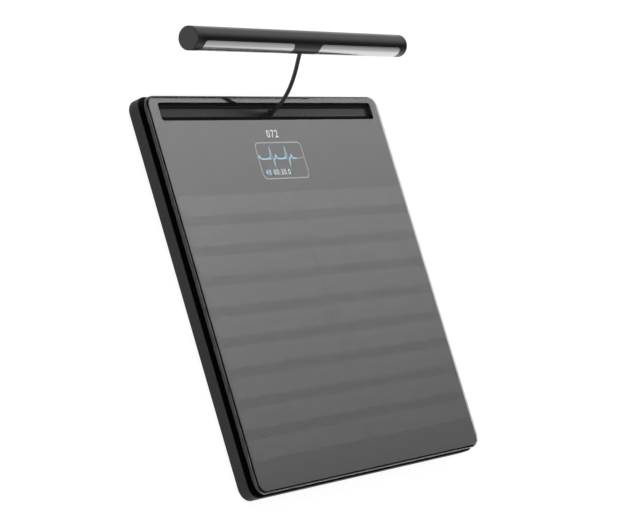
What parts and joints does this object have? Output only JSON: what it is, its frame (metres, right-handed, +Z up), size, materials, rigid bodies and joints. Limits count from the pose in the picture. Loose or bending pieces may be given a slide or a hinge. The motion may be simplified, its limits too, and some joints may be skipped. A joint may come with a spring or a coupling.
{
  "type": "bathroom scale",
  "caption": "Square glass bathroom scale with foot electrode bars, a display and a bar handle with hand electrodes on a retracting cord.",
  "frame": {"origin": "on the ground, under the middle of the object's box with the handle pulled out as pictured", "axes": "+X to the right of a person standing on the scale, +Y from the foot area towards the display and the handle, +Z up"},
  "size_m": [0.325, 0.3601, 0.0896],
  "materials": {
    "base_plastic": "fine satin moulded black plastic",
    "frame_plastic": "matt black moulded plastic",
    "dark_glass": "clear toughened glass with a dark grey print on its underside",
    "electrode_film": "thin conductive coating on the glass, slightly lighter than it",
    "display_panel": "dark display panel behind the glass",
    "handle_plastic": "satin black plastic tube",
    "cap_plastic": "satin dark grey end caps",
    "grip_steel": "fine brushed stainless steel",
    "cord_rubber": "matt black flexible jacket",
    "foot_rubber": "matt dark grey rubber",
    "drum_plastic": "natural white low-friction plastic",
    "spring_steel": "plain bright steel",
    "contact_brass": "bright contact brass",
    "circuit_board": "green solder mask",
    "battery_wrap": "blue shrink wrap",
    "magnet": "nickel-plated magnet"
  },
  "bodies": {
    "platform": {"base_shell": "base_plastic", "neck_ring": "frame_plastic", "support_frame": "frame_plastic", "glass_plate": "dark_glass", "foot_electrodes_left": "electrode_film", "foot_electrodes_right": "electrode_film", "handle_cradle": "frame_plastic", "cord_grommet": "cord_rubber", "cord_guide": "frame_plastic", "dock_magnets": "magnet", "reel_housing": "frame_plastic", "reel_cover": "frame_plastic", "brush_contacts": "contact_brass", "cord_run": "cord_rubber", "display_module": "display_panel", "main_board": "circuit_board", "battery_pack": "battery_wrap", "side_board": "circuit_board", "usb_port": "spring_steel", "button_switch": "frame_plastic", "base_screws": "spring_steel", "reel_screws": "spring_steel", "cord": "cord_rubber", "load_cell_front_left": "spring_steel", "foot_cup_front_left": "frame_plastic", "foot_pad_front_left": "foot_rubber", "load_cell_front_right": "spring_steel", "foot_cup_front_right": "frame_plastic", "foot_pad_front_right": "foot_rubber", "load_cell_rear_left": "spring_steel", "foot_cup_rear_left": "frame_plastic", "foot_pad_rear_left": "foot_rubber", "load_cell_rear_right": "spring_steel", "foot_cup_rear_right": "frame_plastic", "foot_pad_rear_right": "foot_rubber"},
    "button": {"side_button": "base_plastic"},
    "reel": {"reel_drum": "drum_plastic", "reel_spring": "spring_steel", "slip_ring": "contact_brass", "cord_winding": "cord_rubber"},
    "handle": {"handle_shell": "handle_plastic", "handle_cap_left": "cap_plastic", "handle_cap_right": "cap_plastic", "grip_front_left": "grip_steel", "grip_front_right": "grip_steel", "grip_rear_left": "grip_steel", "grip_rear_right": "grip_steel", "handle_board": "circuit_board", "handle_magnets": "magnet", "cord_strain_relief": "cord_rubber"}
  },
  "joints": [
    {"name": "handle_pull", "type": "slide", "parent": "platform", "child": "handle", "axis": [-0.1504, 0.6605, 0.7356], "range_m": [-0.0618, 0.75], "stiffness_N_per_m": 1.5, "springref_m": -1.2, "deforming": ["cord"]},
    {"name": "reel_spin", "type": "hinge", "parent": "platform", "child": "reel", "pos_m": [0.0268, 0.03145, 0.015], "axis": [0, 0, -1], "range_deg": [-160, 1830]},
    {"name": "button_press", "type": "slide", "parent": "platform", "child": "button", "axis": [-1, 0, 0], "range_m": [0, 0.0006], "stiffness_N_per_m": 500, "springref_m": -0.0004}
  ],
  "couplings": [
    {"joint": "reel_spin", "follows": "handle_pull", "rad_per_m": 42}
  ]
}
